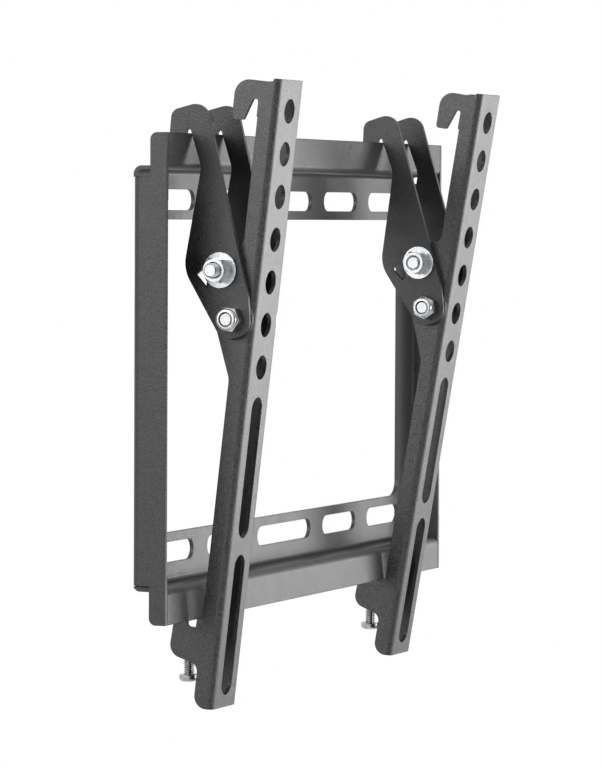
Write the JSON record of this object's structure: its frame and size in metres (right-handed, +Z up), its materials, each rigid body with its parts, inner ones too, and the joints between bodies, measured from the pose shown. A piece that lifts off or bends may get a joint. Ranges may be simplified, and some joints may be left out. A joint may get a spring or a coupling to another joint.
{
  "type": "tilting television wall bracket",
  "caption": "Tilting wall bracket for a flat television: slotted wall plate with folded rails, and channel arms that hang from hook plates and tilt.",
  "frame": {"origin": "on the wall face, at the middle of the wall plate", "axes": "+X to the right as seen by someone facing the bracket, +Y into the wall, +Z up"},
  "size_m": [0.2546, 0.0534, 0.2208],
  "materials": {
    "plate_coat": "dark grey powder coat, slightly textured",
    "arm_coat": "dark grey powder coat, slightly textured",
    "hook_coat": "dark grey powder coat, slightly textured",
    "bolt_zinc": "bright zinc plate",
    "spacer_nylon": "black nylon, smooth"
  },
  "bodies": {
    "plate": {"wall_plate": "plate_coat"},
    "left_hooks": {"left_outer_hook": "hook_coat", "left_inner_hook": "hook_coat", "left_pivot_bolt": "bolt_zinc", "left_pivot_nut": "bolt_zinc", "left_outer_spacer": "spacer_nylon", "left_inner_spacer": "spacer_nylon"},
    "left_arm_group": {"left_arm": "arm_coat", "left_lock_bolt": "bolt_zinc", "left_lock_washer": "bolt_zinc", "left_spring_washer": "bolt_zinc", "left_lock_nut": "bolt_zinc"},
    "left_screw": {"left_retaining_screw": "bolt_zinc"},
    "right_hooks": {"right_outer_hook": "hook_coat", "right_inner_hook": "hook_coat", "right_pivot_bolt": "bolt_zinc", "right_pivot_nut": "bolt_zinc", "right_outer_spacer": "spacer_nylon", "right_inner_spacer": "spacer_nylon"},
    "right_arm_group": {"right_arm": "arm_coat", "right_lock_bolt": "bolt_zinc", "right_lock_washer": "bolt_zinc", "right_spring_washer": "bolt_zinc", "right_lock_nut": "bolt_zinc"},
    "right_screw": {"right_retaining_screw": "bolt_zinc"}
  },
  "joints": [
    {"name": "left_hook_swing", "type": "hinge", "parent": "plate", "child": "left_hooks", "pos_m": [-0.0941, -0.01255, 0.0848], "axis": [1, 0, 0], "range_deg": [-3.89, 10.58]},
    {"name": "left_arm_tilt", "type": "hinge", "parent": "left_hooks", "child": "left_arm_group", "pos_m": [-0.0941, -0.02893, 0.02066], "axis": [1, 0, 0], "range_deg": [-17.11, 6.24]},
    {"name": "left_screw_travel", "type": "slide", "parent": "left_arm_group", "child": "left_screw", "axis": [0, 0.0248, 0.9997], "range_m": [-0.002, 0.006]},
    {"name": "right_hook_swing", "type": "hinge", "parent": "plate", "child": "right_hooks", "pos_m": [0.0792, -0.01255, 0.0848], "axis": [1, 0, 0], "range_deg": [-0.61, 15.46]},
    {"name": "right_arm_tilt", "type": "hinge", "parent": "right_hooks", "child": "right_arm_group", "pos_m": [0.0792, -0.03206, 0.02154], "axis": [1, 0, 0], "range_deg": [-25.04, 0.91]},
    {"name": "right_screw_travel", "type": "slide", "parent": "right_arm_group", "child": "right_screw", "axis": [0, -0.0284, 0.9996], "range_m": [-0.002, 0.006]}
  ],
  "couplings": [
    {"joint": "left_hook_swing", "follows": "left_arm_tilt", "ratio": -0.6154},
    {"joint": "right_hook_swing", "follows": "right_arm_tilt", "ratio": -0.6154}
  ]
}
